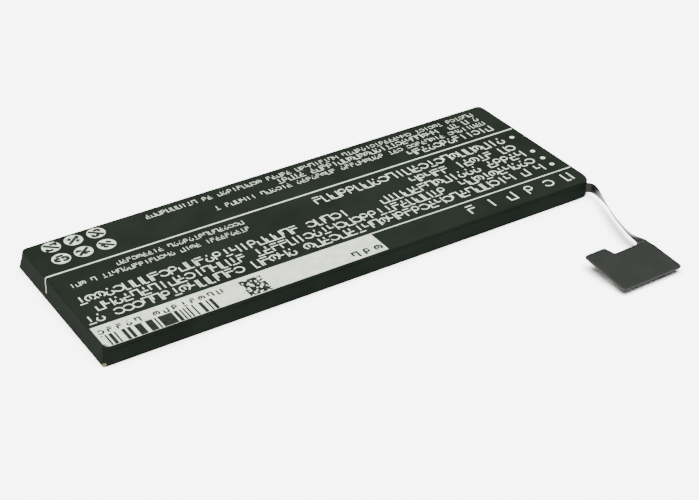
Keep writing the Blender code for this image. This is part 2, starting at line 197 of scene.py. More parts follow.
def grain(x, y, z, size):
    """Smooth noise from about -1 to 1 with lumps of this size."""
    return noise.noise(Vector((x, y, z)) / size)


def in_scene(name, data):
    obj = bpy.data.objects.new(name, data)
    bpy.context.scene.collection.objects.link(obj)
    return obj


def shade(mesh, flat_above):
    """Smooths the mesh except over edges sharper than this many degrees."""
    mesh.shade_smooth()
    mesh.set_sharp_from_angle(angle=math.radians(flat_above))


def piece(name, points, faces, look, flat_above=35):
    """A mesh object from points in millimetres."""
    mesh = bpy.data.meshes.new(name)
    mesh.from_pydata([Vector(point) * MM for point in points], [], faces)
    mesh.materials.append(look)
    shade(mesh, flat_above)
    return in_scene(name, mesh)


def settle(obj):
    """Turns what the object's modifiers give into its own plain mesh."""
    graph = bpy.context.evaluated_depsgraph_get()
    mesh = bpy.data.meshes.new_from_object(obj.evaluated_get(graph), depsgraph=graph)
    obj.modifiers.clear()
    obj.data = mesh


def new_tree(name, inputs):
    """A node tree from Geometry and these named inputs to Geometry, and the sockets of its inputs."""
    tree = bpy.data.node_groups.new(name, "GeometryNodeTree")
    for label, kind in {"Geometry": "Geometry", **inputs}.items():
        tree.interface.new_socket(label, in_out="INPUT", socket_type=f"NodeSocket{kind}")
    tree.interface.new_socket("Geometry", in_out="OUTPUT", socket_type="NodeSocketGeometry")
    return tree, add(tree, "NodeGroupInput").outputs


def grow(obj, tree, values):
    """Makes the object what the tree makes of it, with these values for the tree's inputs."""
    layer = obj.modifiers.new("grown", "NODES")
    layer.node_group = tree
    for socket in tree.interface.items_tree:
        if socket.in_out == "INPUT" and socket.name in values:
            layer[socket.identifier] = values[socket.name]
    settle(obj)


def arc(centre, radius, start, end, steps):
    """Points on an arc between two angles in degrees."""
    angles = np.radians(np.linspace(start, end, steps + 1))
    return [(centre[0] + radius * math.cos(a), centre[1] + radius * math.sin(a)) for a in angles]


def dense(outline, spacing):
    """The outline with points added so that no side is longer than spacing."""
    made = []
    for (ax, ay), (bx, by) in zip(outline, outline[1:] + outline[:1]):
        count = max(1, math.ceil(math.hypot(bx - ax, by - ay) / spacing))
        made += [(ax + (bx - ax) * i / count, ay + (by - ay) * i / count) for i in range(count)]
    return made


def inside(spot, outline):
    """Whether a spot in the plane lies inside a closed outline."""
    x, y = spot
    odd = False
    for (ax, ay), (bx, by) in zip(outline, outline[1:] + outline[:1]):
        if (ay > y) != (by > y) and x < (bx - ax) * (y - ay) / (by - ay) + ax:
            odd = not odd
    return odd


def edge_distance(spot, outline):
    """How far a spot lies from the nearest point of a dense outline."""
    return min(math.hypot(spot[0] - x, spot[1] - y) for x, y in outline)


def filled(outline, inner):
    """Triangles over an anticlockwise outline and the loose points inside it, with the points they use."""
    spots = [Vector(spot) for spot in list(outline) + list(inner)]
    count = len(outline)
    edges = [(i, (i + 1) % count) for i in range(count)]
    made = delaunay_2d_cdt(spots, edges, [], 1, 1e-6)
    places = [None] * len(made[0])
    for new, olds in enumerate(made[3]):
        if olds:
            places[new] = olds[0]
    faces = []
    for face in made[2]:
        face = [places[i] for i in face]
        a, b, c = (spots[i] for i in face[:3])
        turn = (b - a).cross(c - a)
        faces.append(tuple(face) if turn > 0 else tuple(reversed(face)))
    return faces


def lattice(outline, spacing, margin):
    """Points on a square grid inside an outline, keeping margin clear along it."""
    xs, ys = zip(*outline)
    near = dense(list(outline), margin)
    spots = []
    columns = round((max(xs) - min(xs)) / spacing)
    rows = round((max(ys) - min(ys)) / spacing)
    for i in range(1, columns):
        for j in range(1, rows):
            x = min(xs) + (max(xs) - min(xs)) * i / columns
            spot = (x, min(ys) + (max(ys) - min(ys)) * j / rows)
            if inside(spot, outline) and edge_distance(spot, near) > margin:
                spots.append(spot)
    return spots


def plate(outline, inner, top, bottom):
    """Points and faces of a closed sheet over an anticlockwise outline; top and bottom place its faces."""
    spots = list(outline) + list(inner)
    faces = filled(outline, inner)
    points = [top(x, y) for x, y in spots] + [bottom(x, y) for x, y in spots]
    shift = len(spots)
    count = len(outline)
    under = [tuple(i + shift for i in reversed(face)) for face in faces]
    sides = [(i, i + shift, (i + 1) % count + shift, (i + 1) % count) for i in range(count)]
    return points, faces + under + sides


def tube(rings, closed_ends=True):
    """Points and faces through rings of equal length, each seen anticlockwise from its end."""
    count = len(rings[0])
    points = [point for ring in rings for point in ring]
    faces = []
    for level in range(len(rings) - 1):
        for side in range(count):
            near = level * count + side
            far = level * count + (side + 1) % count
            faces.append((near, far, far + count, near + count))
    if closed_ends:
        faces.append(tuple(reversed(range(count))))
        faces.append(tuple(range(len(points) - count, len(points))))
    return points, faces


# ---------------------------------------------------------------- camera, floor and lights


def make_camera():
    level = AIM.cross(Vector((0, 0, 1))).normalized()
    right = level * math.cos(ROLL) + level.cross(AIM) * math.sin(ROLL)
    up = right.cross(AIM)
    camera = in_scene("camera", bpy.data.cameras.new("camera"))
    camera.data.lens = LENS
    camera.data.sensor_width = 36.0
    camera.data.clip_start = 0.01
    camera.data.clip_end = 20.0
    turned = Matrix((right, up, -AIM)).transposed().to_4x4()
    camera.matrix_world = Matrix.Translation(EYE) @ turned
    bpy.context.scene.camera = camera


def make_studio():
    """A pale floor and broad soft lights, one from the left and one overhead, both turned to the origin."""
    paper = new_material("floor_paper", 0.95, 0.0, 0.0)
    paper.node_tree.nodes["Principled BSDF"].inputs["Base Color"].default_value = hex_colour("fafafa")
    corners = [(x * FLOOR_REACH, y * FLOOR_REACH, -0.02) for x, y in ((-1, -1), (1, -1), (1, 1), (-1, 1))]
    piece("floor", corners, [(0, 1, 2, 3)], paper)
    for name, place, size, watts in LIGHTS:
        lamp = bpy.data.lights.new(name, "AREA")
        lamp.shape = "RECTANGLE"
        lamp.size, lamp.size_y = size
        lamp.energy = watts
        light = in_scene(name, lamp)
        light.location = place
        light.rotation_euler = (-Vector(place)).to_track_quat("-Z", "Y").to_euler()
    world = bpy.data.worlds.new("studio")
    world.use_nodes = True
    world.node_tree.nodes["Background"].inputs["Color"].default_value = hex_colour("f2f4f6")
    world.node_tree.nodes["Background"].inputs["Strength"].default_value = 0.15
    bpy.context.scene.world = world


# ---------------------------------------------------------------- materials


def new_material(name, roughness, metallic, specular):
    made = bpy.data.materials.new(name)
    made.use_nodes = True
    values = {"Roughness": roughness, "Metallic": metallic, "Specular IOR Level": specular}
    for label, value in values.items():
        made.node_tree.nodes["Principled BSDF"].inputs[label].default_value = value
    return made


def coordinates(tree):
    return add(tree, "ShaderNodeTexCoord").outputs["Object"]


def mottle(made, dark, light, size):
    """Varies the colour between two hex colours in lumps of this size in millimetres."""
    tree = made.node_tree
    feeds = {"Vector": coordinates(tree), "Scale": 1 / (size * MM), "Detail": 3.0}
    lumps = add(tree, "ShaderNodeTexNoise", feeds)
    ramp = add(tree, "ShaderNodeValToRGB", {"Fac": lumps.outputs["Fac"]})
    for stop, position, colour in zip(ramp.color_ramp.elements, (0.35, 0.65), (dark, light)):
        stop.position = position
        stop.color = hex_colour(colour)
    tree.links.new(ramp.outputs["Color"], tree.nodes["Principled BSDF"].inputs["Base Color"])
    return ramp.outputs["Color"]


def worn_corner(made, black):
    """Shows tan paper where the film has worn through at the foot of one corner."""
    tree = made.node_tree
    spot = [value * MM for value in WORN_SPOT]
    away = add(tree, "ShaderNodeVectorMath", {0: coordinates(tree), 1: spot}, operation="DISTANCE")
    ragged = add(tree, "ShaderNodeTexNoise", {"Vector": coordinates(tree), "Scale": 1 / (0.25 * MM)})
    reach = add(tree, "ShaderNodeMath", {0: ragged.outputs["Fac"], 1: 0.9 * MM}, operation="MULTIPLY")
    bare = add(tree, "ShaderNodeMath", {0: away.outputs["Value"], 1: reach.outputs[0]}, operation="LESS_THAN")
    paper = hex_colour("4d4a34")
    colour = add(tree, "ShaderNodeMix", {0: bare.outputs[0], 6: black, 7: paper}, data_type="RGBA")
    tree.links.new(colour.outputs[2], tree.nodes["Principled BSDF"].inputs["Base Color"])


def roughen(made, size, depth, pitted=False):
    """Bumps the surface with a fine grain, or with open pits, of this size and depth in millimetres."""
    tree = made.node_tree
    feeds = {"Vector": coordinates(tree), "Scale": 1 / (size * MM)}
    if pitted:
        pattern = add(tree, "ShaderNodeTexVoronoi", feeds).outputs["Distance"]
    else:
        pattern = add(tree, "ShaderNodeTexNoise", {**feeds, "Detail": 2.0}).outputs["Fac"]
    bump = add(tree, "ShaderNodeBump", {"Height": pattern, "Distance": depth * MM, "Strength": 1.0})
    tree.links.new(bump.outputs["Normal"], tree.nodes["Principled BSDF"].inputs["Normal"])


# Slot, name, roughness, metallic, specular level, two colours, then the size of the mottling and the size and
# depth of the grain, in millimetres
FINISHES = (
    # Satin polyester film, printed black: a soft sheen with a fine paper-like grain
    ("label", "label_film", 0.50, 0.0, 0.004, "0c100c", "0f130f", 7.0, 0.25, 0.004),
    # Screen-printed white ink: flat and chalky, slightly grey-green where it is thin
    ("ink", "printed_white_ink", 0.62, 0.0, 0.3, "7b8074", "888d80", 1.2, 0.12, 0.003),
    # Black printed over the white ink: the same black as the film, a little flatter
    ("black_ink", "printed_black_ink", 0.6, 0.0, 0.02, "0c0f0c", "121612", 0.8, 0.12, 0.0),
    # Matte black polyimide coverlay over copper: smooth, with a broad satin highlight
    ("flex", "flex_coverlay", 0.36, 0.0, 0.10, "0c0e0c", "0f110e", 3.0, 0.35, 0.003),
    # Glass and epoxy stiffener sheet, black: a faint fine grain on a dull face
    ("stiffener", "black_glass_epoxy", 0.5, 0.0, 0.05, "090a09", "0e0f0d", 0.6, 0.12, 0.006),
    # Moulded liquid crystal polymer: dark, dull and very slightly mottled
    ("connector", "moulded_lcp", 0.42, 0.0, 0.5, "1c1c1c", "262626", 0.8, 0.08, 0.004),
    # Gold over nickel on a stamped contact: bright, warm and very finely grained
    ("gold", "gold_plating", 0.25, 1.0, 0.5, "d9ae52", "ecc872", 0.3, 0.05, 0.001),
    # Rolled nickel strip: grey and slightly yellow, with a satin grain
    ("nickel", "rolled_nickel", 0.32, 1.0, 0.5, "b3ada1", "c9c4b8", 0.5, 0.08, 0.002),
    # Rolled aluminium strip: bright silver with a soft grain
    ("aluminium_tab", "rolled_aluminium", 0.34, 1.0, 0.5, "d0d2d4", "e2e4e6", 0.6, 0.1, 0.002),
    # Aluminium laminate pouch film under nylon: silver with a shallow orange peel
    ("laminate", "pouch_laminate", 0.33, 0.9, 0.5, "c4c7ca", "d6d9dc", 4.0, 0.8, 0.02),
    # Cathode coating on foil: near black, powdery and dead flat
    ("cathode", "cathode_coating", 0.85, 0.0, 0.2, "232325", "2e2e31", 0.4, 0.06, 0.006),
    # Graphite coating on foil: dark grey with a faint metallic sheen
    ("anode", "graphite_coating", 0.6, 0.2, 0.4, "3a3b3e", "4a4b4f", 0.4, 0.06, 0.005),
    # Microporous polyethylene separator: milk white and waxy
    ("separator", "polyethylene_separator", 0.55, 0.0, 0.4, "e6e6e0", "f2f2ee", 2.0, 0.3, 0.004),
    # Amber polyimide tape: clear orange-brown with a smooth gloss
    ("tape", "polyimide_tape", 0.25, 0.0, 0.5, "b3741c", "cc8a2a", 3.0, 0.8, 0.004),
    # Polypropylene sealing film round the tabs: cloudy pale green-white
    ("sealant", "polypropylene_sealant", 0.5, 0.0, 0.4, "cdd6c6", "dee4d8", 1.0, 0.2, 0.004),
    # Open-cell urethane foam: black and porous, with pits about a tenth of a millimetre across
    ("foam", "urethane_foam", 0.95, 0.0, 0.1, "161616", "2a2a2a", 0.15, 0.12, 0.03),
    # Green solder mask over glass and epoxy: glossy, and faintly uneven from the glass beneath
    ("board", "solder_mask", 0.32, 0.0, 0.5, "0f4a26", "165c30", 0.5, 0.25, 0.006),
    # Transfer-moulded epoxy on a chip: black-grey with a fine sparkle of filler
    ("chip", "moulded_epoxy", 0.55, 0.0, 0.4, "222224", "2e2e30", 0.1, 0.04, 0.003),
    # Fired ceramic of small capacitors: tan and finely speckled
    ("component_ceramic", "fired_ceramic", 0.45, 0.0, 0.5, "a08565", "b89c7a", 0.15, 0.05, 0.002),
    # Injection-moulded polycarbonate, black, with a fine spark-eroded texture
    ("frame_plastic", "black_polycarbonate", 0.5, 0.0, 0.45, "1e1f1e", "272827", 1.5, 0.12, 0.008),
)


def make_materials():
    looks = {}
    for slot, name, roughness, metallic, specular, dark, light, lump, grit, depth in FINISHES:
        made = new_material(name, roughness, metallic, specular)
        colour = mottle(made, dark, light, lump)
        if slot == "label":
            worn_corner(made, colour)
        if depth:
            roughen(made, grit, depth, pitted=slot == "foam")
        looks[slot] = made
    return looks


def dress_nodes(looks):
    """Gives each CAD node the finish of its material slot."""
    for part in frame["record"]["subparts"]:
        mesh = frame["nodes"][part["node"]].data
        mesh.materials.clear()
        mesh.materials.append(looks[part["material_slot"]])


# ---------------------------------------------------------------- the film wrap


def wall_inset(x, y, z, nx, ny):
    """How far the film lies inside the pack's plain outer form at a place on its wall."""
    along = smooth(abs(ny), 0.75, 1.0)
    low = 1 - smooth(z, 1.8, 2.3)
    fold_start, fold_end = FOLD_X
    starts = smooth(x, fold_start - 0.8, fold_start + 0.8)
    ends = 1 - smooth(x, fold_end - 1.0, fold_end + 1.0)
    present = along * starts * ends
    crest = FOLD_Z + 0.020 * grain(x, y, 0, 9.0) + 0.008 * grain(x, y, 4, 2.2)
    # The long walls hollow a little between foot and fold, and a valley runs above the fold's edge
    inset = 0.075 * ((z - 1.05) / 1.3) ** 2 * along * (1 - smooth(z, 2.25, 2.45))
    inset += present * 0.045 * smooth(z, crest - 0.02, crest + 0.10)
    inset += present * (0.10 + 0.015 * grain(x, y, 8, 5.0)) * hump(z, crest + 0.12, 0.08)
    if ny < -0.7:
        dents = max(0.0, grain(x, 0, z * 2.2, 3.1)) * smooth(x, 8.0, 34.0) * hump(z, 0.7, 0.7)
        inset += 0.05 * dents
        inset += 0.012 * max(0.0, grain(x, 0, z * 3, 1.7)) * low
    if ny > 0.7:
        inset += 0.03 * max(0.0, grain(x, 3, z * 2.2, 2.7)) * low
        inset -= 0.12 * smooth(z, 0.3, 2.9)
    if nx < -0.05:
        inset += corner_pleats(z, nx, ny)
    if nx > 0.9:
        inset += 0.03 * smooth(z, 1.88, 1.92)
    return inset


def corner_pleats(z, nx, ny):
    """The small folds that gather the film round the two corners at the left end."""
    turn = math.degrees(math.atan2(abs(ny), -nx))
    inset = 0.0
    if ny > 0.02:
        for middle, slant, width, depth in ((14, 5, 5, 0.08), (38, -4, 6, 0.11), (66, 3, 5, 0.08)):
            groove = hump(turn, middle + slant * (z - 1.5), width)
            inset += depth * groove * smooth(z, 0.3, 1.1) * (1 - smooth(z, 2.8, 3.1))
    elif ny < -0.02:
        inset += 0.15 * hump(turn, 52, 26) * hump(z, 2.52, 0.30)
        inset += 0.05 * hump(turn, 30, 7) * smooth(z, 0.3, 0.9) * (1 - smooth(z, 2.3, 2.7))
    return inset


def film_top(x, y):
    """Height of the film's upper face: almost flat, with a slow wave and a shallow crown inside the rim."""
    wave = 0.006 * grain(x, y, 0, 11.0) + 0.0022 * grain(x, y, 9, 3.2)
    edge = min(45.0 - abs(x), 16.2 - abs(y))
    return FILM_TOP - 0.010 + wave + 0.006 * hump(edge, 1.3, 0.9)


def film_bottom(x, y):
    """Height of the underside, where one edge of the wrap laps over the other along the pack."""
    ends = smooth(44.4 - abs(x), 0.0, 1.0)
    return 0.055 * ends * smooth(y, LAP_Y - 0.02, LAP_Y + 0.06) * math.exp(-max(y - LAP_Y, 0) / 0.9)


def at_tail_corner(x, y, z):
    """Where a point near the tail's corner goes: in, down from the top and up from the foot."""
    near = smooth(3.0 - math.hypot(x - TAIL_CORNER.x, y - TAIL_CORNER.y), 0.0, 3.0) ** 2
    inward = 0.22 * near
    dip = -0.42 * near * smooth(z, 1.9, 3.1)
    rise = 0.40 * near * (1 - smooth(z, 0.0, 0.7))
    return (x - inward, y + inward, z + dip + rise)


def film_ring(z, inset):
    """Places and outward directions round the pack's plain form at one height, moved in by inset."""
    rise = z / THICKNESS
    right = LENGTH / 2 - RIGHT_DRAFT * rise - inset
    left = LENGTH / 2 - LEFT_DRAFT * rise - inset
    side = WIDTH / 2 - SIDE_DRAFT * rise - inset
    corners = ((right, side, 1, 1), (-left, side, -1, 1), (-left, -side, -1, -1), (right, -side, 1, -1))
    radii = [foot + (top - foot) * rise for top, foot in zip(CORNERS_TOP, CORNERS_FOOT)]
    arcs = []
    for quarter, ((cx, cy, sx, sy), radius) in enumerate(zip(corners, radii)):
        own = max(radius - inset, 0.3)
        centre = (cx - sx * own, cy - sy * own)
        arcs.append(arc(centre, own, 90 * quarter, 90 * quarter + 90, CORNER_STEPS))
    spots = []
    for quarter in range(4):
        for step, spot in enumerate(arcs[quarter]):
            turn = math.radians(90 * (quarter + step / CORNER_STEPS))
            spots.append((*spot, math.cos(turn), math.sin(turn)))
        (ax, ay), (bx, by) = arcs[quarter][-1], arcs[(quarter + 1) % 4][0]
        turn = math.radians(90 * quarter + 90)
        count = SIDE_STEPS[quarter]
        for step in range(1, count):
            part = step / count
            spots.append((ax + (bx - ax) * part, ay + (by - ay) * part, math.cos(turn), math.sin(turn)))
    return spots


def film_levels():
    """Height and inset of each ring of the wrap, from its foot up over the rim."""
    levels = []
    for step in range(FOOT_STEPS + 1):
        angle = math.pi / 2 * step / FOOT_STEPS
        levels.append((FOOT - FOOT * math.cos(angle), FOOT - FOOT * math.sin(angle)))
    levels += [(z, 0.0) for z in WALL_LEVELS]
    for step in range(RIM_STEPS + 1):
        angle = math.pi / 2 * step / RIM_STEPS
        levels.append((FILM_TOP - RIM + RIM * math.sin(angle), RIM - RIM * math.cos(angle)))
    return levels


def make_film(looks):
    """The printed wrap: rings up the wall and over the rim, with a top and an underside inside them."""
    points = []
    count = len(film_ring(0, 0))
    levels = film_levels()
    for level, (z, inset) in enumerate(levels):
        for x, y, nx, ny in film_ring(z, inset):
            if 0 < level < len(levels) - 1:
                own = wall_inset(x, y, z, nx, ny) * smooth(z, 0.0, 0.3) * (1 - smooth(z, 2.85, 3.09))
                x -= nx * own
                y -= ny * own
            high = film_top(x, y) if level == len(levels) - 1 else z
            points.append(at_tail_corner(x, y, high))
    _, faces = tube([[(0, 0, 0)] * count] * len(levels), closed_ends=False)

    def close(first, inner, height, turned):
        """Fills the ring that starts at this point, with loose points inside it."""
        ring = [point[:2] for point in points[first : first + count]]
        inner = inner(ring)
        start = len(points)
        points.extend(at_tail_corner(x, y, height(x, y)) for x, y in inner)
        for face in filled(ring, inner):
            face = [first + i if i < count else start + i - count for i in face]
            faces.append(tuple(reversed(face)) if turned else tuple(face))

    def round_the_lap(ring):
        lap = [(x, y) for x in np.arange(-44.5, 44.6, 0.9) for y in (5.96, 6.0, 6.05, 6.3, 6.8)]
        return [spot for spot in lattice(ring, CAP_SPACING * 1.6, 0.55) if not 5.6 < spot[1] < 7.2] + lap

    close(len(points) - count, lambda ring: lattice(ring, CAP_SPACING, 0.55), film_top, False)
    close(0, round_the_lap, film_bottom, True)
    return piece("label_skin", points, faces, looks["label"])


def open_exit(film):
    """Gives the wrap a wall and cuts the slot that the tail leaves through."""
    wall = film.modifiers.new("wall", "SOLIDIFY")
    wall.thickness = FILM * MM
    wall.offset = -1
    half = EXIT_WIDTH / 2
    low, high = EXIT_Z
    turn = Matrix.Translation((*EXIT, 0)) @ Matrix.Rotation(math.radians(EXIT_TURN), 4, "Z")
    outline = arc((0, high - half), half, 0, 180, 8) + arc((0, low + half), half, 180, 360, 8)
    rings = [[turn @ Vector((reach, side, z)) for side, z in outline] for reach in EXIT_REACH]
    cutter = piece("exit_cutter", *tube(rings), film.data.materials[0])
    slot = film.modifiers.new("slot", "BOOLEAN")
    slot.operation = "DIFFERENCE"
    slot.solver = "EXACT"
    slot.object = cutter
    settle(film)
    bpy.data.objects.remove(cutter)
    shade(film.data, 50)


# ---------------------------------------------------------------- print on the film


class Skin:
    """Finds the place on the film nearest to a point."""

    def __init__(self, film):
        mesh = film.data
        corners = [vertex.co / MM for vertex in mesh.vertices]
        self.tree = BVHTree.FromPolygons(corners, [face.vertices for face in mesh.polygons])

    def lay(self, point, lift):
        spot, normal, _, _ = self.tree.find_nearest(Vector(point))
        return spot + normal * lift


def laid_plate(skin, outline, spacing, lift=0.0, inner_spacing=None):
    """Points and faces of a thin printed patch laid on the film's upper face."""
    outline = dense(outline, spacing)
    inner = lattice(outline, inner_spacing, inner_spacing * 0.6) if inner_spacing else []

    def top(x, y):
        return skin.lay((x, y, FILM_TOP), PRINT_UP + lift)

    def bottom(x, y):
        return skin.lay((x, y, FILM_TOP), -PRINT_DOWN)

    return plate(outline, inner, top, bottom)


def joined(parts):
    """Several points-and-faces pairs as one."""
    points, faces = [], []
    for more_points, more_faces in parts:
        shift = len(points)
        points += more_points
        faces += [tuple(i + shift for i in face) for face in more_faces]
    return points, faces


def band_outline(path, width):
    """Outline of a strip of this width along an open path in the plane, with mitred corners."""
    steps = [(Vector(b) - Vector(a)).normalized() for a, b in zip(path, path[1:])]
    left, right = [], []
    for i, spot in enumerate(path):
        before = steps[max(i - 1, 0)]
        after = steps[min(i, len(steps) - 1)]
        middle = (before + after).normalized()
        reach = width / 2 / max(middle.dot(after), 0.45)
        side = Vector((-middle.y, middle.x)) * reach
        left.append(tuple(Vector(spot) + side))
        right.append(tuple(Vector(spot) - side))
    return right + left[::-1]


def make_strip(skin, looks):
    """The white strip along the front edge, and the two long rules."""
    outline = arc((-43.85, -15.10), 1.0, 180, 270, 8) + [(4.6, -16.10), (4.6, -10.55), (-44.85, -10.35)]
    strip = piece("print_strip", *laid_plate(skin, outline, 0.3, STRIP_LIFT, 0.6), looks["ink"])
    parts = [laid_plate(skin, rule, 0.6) for rule in RULES]
    parts.append(end_rule(skin))
    return [strip, piece("print_rules", *joined(parts), looks["ink"])]


def end_rule(skin):
    """The long rule's last stretch, bent over the rim and part of the way down the left end."""
    path = [(-44.75, 6.28, FILM_TOP)]
    path += [(-44.85 - 0.22 * t, 6.27 - 0.12 * t, FILM_TOP - 0.25 * t * t) for t in np.linspace(0.1, 1, 6)]
    path += [(-45.1 - 0.45 * t, 6.15 - 0.95 * t, 2.82 - 1.75 * t) for t in np.linspace(0.05, 1, 12)]
    rings = []
    for x, y, z in path:
        across = [(x, y + side * END_RULE_HALF_WIDTH, z) for side in (1, 0, -1)]
        under = [skin.lay(p, -PRINT_DOWN) for p in across]
        over = [skin.lay(p, PRINT_UP) for p in reversed(across)]
        rings.append(under + over)
    return tube([ring[::-1] for ring in rings])


def make_mark(name, paths, weight, look):
    """One small printed mark, a unit high, from one or more strokes."""
    parts = []
    for path in paths:
        outline = band_outline(path, weight) if len(path) > 1 else arc(path[0], weight, 0, 345, 23)
        spots = [Vector(spot) for spot in outline]
        area = sum(a.cross(b) for a, b in zip(spots, spots[1:] + spots[:1]))
        if area < 0:
            outline = outline[::-1]
        count = len(outline)
        points = [(x, y, PRINT_UP) for x, y in outline] + [(x, y, -PRINT_DOWN) for x, y in outline]
        sides = [(i, i + count, (i + 1) % count + count, (i + 1) % count) for i in range(count)]
        parts.append((points, [tuple(range(count)), tuple(reversed(range(count, 2 * count))), *sides]))
    points, faces = joined(parts)
    mesh = bpy.data.meshes.new(name)
    mesh.from_pydata([(x, y, z * MM) for x, y, z in points], [], faces)
    mesh.materials.append(look)
    return bpy.data.objects.new(name, mesh)


def collection_of(name, objects):
    made = bpy.data.collections.new(name)
    for obj in objects:
        made.objects.link(obj)
    return made


def text_marks(look, weight):
    """Strokes that stand for small lettering and spell nothing."""
    w, h = 0.50, 0.86
    shapes = (
        [[(0, 0), (0, h), (w, h), (w, 0.34)]],
        [[(0, h), (0, 0), (w, 0), (w, 0.55)]],
        [arc((0.27, 0.43), 0.33, 20, 320, 12)],
        [arc((0.27, 0.26), 0.24, -160, 180, 12), [(0.51, 0.45), (0.51, h)]],
        [[(0, h), (w, h), (w, 0.46), (0.05, 0.46)], [(0.25, 0.26), (0.25, 0)]],
        [[(0, 0.0), (0.0, h)], [(0.22, h), (w, h), (w, 0.0)]],
        [[(0, h), (0, 0)], [(0.2, 0.43), (w, 0.43), (w, 0)]],
        [arc((0.27, 0.6), 0.24, -60, 230, 12), [(0.27, 0.16), (0.27, 0)]],
        [[(0.25, 0), (0.25, h)]],
        [[(0, 0.0), (w, 0.0)], [(0, 0.3), (w, 0.3), (w, h)]],
        [arc((0.27, 0.43), 0.33, 120, 420, 12), [(0.27, 0.25), (0.27, 0.6)]],
        [[(0, h), (w, h)], [(0.25, 0.62), (0.25, 0.0)]],
    )
    return [make_mark(f"mark_{number}", paths, weight, look) for number, paths in enumerate(shapes)]


MARK_INPUTS = {
    "Marks": "Collection",
    "Film": "Object",
    "Ink": "Material",
    "Fill": "Float",
    "Turn": "Float",
    "Seed": "Int",
    "Lift": "Float",
}


def marks_tree():
    """Sets marks on the mesh's points, leaves some out, and drops them on to the film."""
    tree, given = new_tree("set_marks", MARK_INPUTS)
    chance = {"Probability": given["Fill"], "Seed": given["Seed"]}
    keep = add(tree, "FunctionNodeRandomValue", chance, data_type="BOOLEAN")
    pick = add(tree, "FunctionNodeRandomValue", {4: 0, 5: 99, "Seed": given["Seed"]}, data_type="INT")
    marks = add(tree, "GeometryNodeCollectionInfo", {0: given["Marks"], 1: True, 2: True})
    size = add(tree, "GeometryNodeInputNamedAttribute", {"Name": "size"}, data_type="FLOAT_VECTOR")
    turn = add(tree, "ShaderNodeCombineXYZ", {"Z": given["Turn"]})
    placed = add(
        tree,
        "GeometryNodeInstanceOnPoints",
        {
            "Points": given["Geometry"],
            "Selection": keep.outputs["Value"],
            "Instance": marks.outputs[0],
            "Pick Instance": True,
            "Instance Index": pick.outputs[2],
            "Rotation": turn.outputs[0],
            "Scale": size.outputs["Attribute"],
        },
    )
    real = add(tree, "GeometryNodeRealizeInstances", {0: placed.outputs[0]})
    film = add(tree, "GeometryNodeObjectInfo", {"Object": given["Film"]}, transform_space="RELATIVE")
    place = add(tree, "GeometryNodeInputPosition")
    parts = add(tree, "ShaderNodeSeparateXYZ", {0: place.outputs[0]})
    above = add(tree, "ShaderNodeCombineXYZ", {"X": parts.outputs[0], "Y": parts.outputs[1], "Z": 10 * MM})
    ray = add(
        tree,
        "GeometryNodeRaycast",
        {
            "Target Geometry": film.outputs["Geometry"],
            "Source Position": above.outputs[0],
            "Ray Direction": (0, 0, -1),
            "Ray Length": 20 * MM,
        },
    )
    lift = add(tree, "ShaderNodeMath", {0: parts.outputs[2], 1: given["Lift"]}, operation="ADD")
    offset = add(tree, "ShaderNodeCombineXYZ", {"Z": lift.outputs[0]})
    feeds = {0: ray.outputs["Hit Position"], 1: offset.outputs[0]}
    landed = add(tree, "ShaderNodeVectorMath", feeds, operation="ADD")
    laid = add(
        tree,
        "GeometryNodeSetPosition",
        {"Geometry": real.outputs[0], "Selection": ray.outputs["Is Hit"], "Position": landed.outputs[0]},
    )
    inked = add(tree, "GeometryNodeSetMaterial", {"Geometry": laid.outputs[0], "Material": given["Ink"]})
    tree.links.new(inked.outputs[0], add(tree, "NodeGroupOutput").inputs[0])
    return tree


def rows_tree(marks):
    """Spaces points along each edge of the mesh by the marks' own height, then sets marks on them."""
    tree, given = new_tree("set_rows", {**MARK_INPUTS, "Spacing": "Float"})
    line = add(tree, "GeometryNodeMeshToCurve", {0: given["Geometry"]})
    size = add(tree, "GeometryNodeInputNamedAttribute", {"Name": "size"}, data_type="FLOAT_VECTOR")
    tall = add(tree, "ShaderNodeSeparateXYZ", {0: size.outputs["Attribute"]})
    pitch = add(tree, "ShaderNodeMath", {0: tall.outputs[1], 1: given["Spacing"]}, operation="MULTIPLY")
    feeds = {"Curve": line.outputs[0], "Length": pitch.outputs[0]}
    spaced = add(tree, "GeometryNodeResampleCurve", feeds, mode="LENGTH")
    dots = add(tree, "GeometryNodeCurveToPoints", {"Curve": spaced.outputs[0]}, mode="EVALUATED")
    group = add(tree, "GeometryNodeGroup", node_tree=marks)
    for socket in group.inputs:
        source = dots.outputs["Points"] if socket.name == "Geometry" else given[socket.name]
        tree.links.new(source, socket)
    tree.links.new(group.outputs[0], add(tree, "NodeGroupOutput").inputs[0])
    return tree


def spread(name, points, edges, sizes, tree, values):
    """A mesh of places with a size each, turned into real marks by a tree."""
    mesh = bpy.data.meshes.new(name)
    mesh.from_pydata([Vector((*point, 0)) * MM for point in points], edges, [])
    mesh.attributes.new("size", "FLOAT_VECTOR", "POINT").data.foreach_set("vector", np.ravel(sizes))
    obj = in_scene(name, mesh)
    grow(obj, tree, values)
    obj.data.shade_flat()
    return obj


